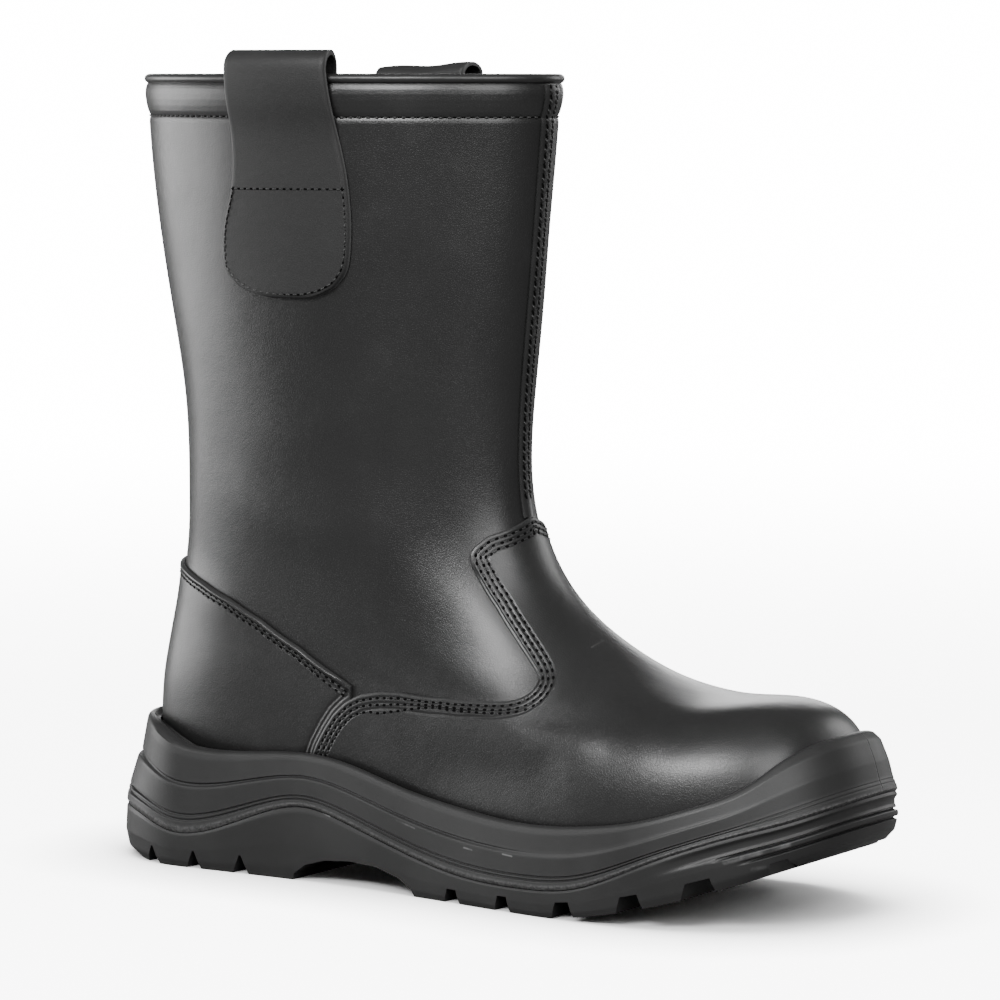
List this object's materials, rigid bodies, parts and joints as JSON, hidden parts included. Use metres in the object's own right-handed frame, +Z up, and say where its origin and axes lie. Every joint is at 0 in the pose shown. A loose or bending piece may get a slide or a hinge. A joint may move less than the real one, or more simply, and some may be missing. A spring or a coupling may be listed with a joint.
{
  "type": "rigger boot",
  "caption": "Right pull-on rigger boot: tall hollow leather shaft with padded collar and pull loops, overlaid vamp and heel counter, on a two-layer lugged sole with a toe bumper.",
  "frame": {"origin": "on the plane that the boot stands on, under the centre of its bounding box", "axes": "+X from heel to toe, +Z up along the shaft, -Y towards the outer side of the foot"},
  "size_m": [0.3108, 0.1114, 0.3006],
  "materials": {
    "outsole": "satin moulded polyurethane, black",
    "midsole": "satin moulded polyurethane, black",
    "insole": "matt grey-black textile",
    "upper": "semi-gloss fine-grained black leather",
    "vamp": "semi-gloss fine-grained black leather",
    "heel_counter": "semi-gloss fine-grained black leather",
    "front_seam": "semi-gloss black leather",
    "back_seam": "semi-gloss black leather",
    "collar_bead": "semi-gloss black leather piping",
    "pull_loop_outer": "matt black leather strap",
    "pull_loop_inner": "matt black leather strap"
  },
  "bodies": {
    "root": {"outsole": "outsole", "midsole": "midsole", "insole": "insole", "upper": "upper", "vamp": "vamp", "heel_counter": "heel_counter", "front_seam": "front_seam", "back_seam": "back_seam", "collar_bead": "collar_bead", "pull_loop_outer": "pull_loop_outer", "pull_loop_inner": "pull_loop_inner"}
  },
  "joints": []
}
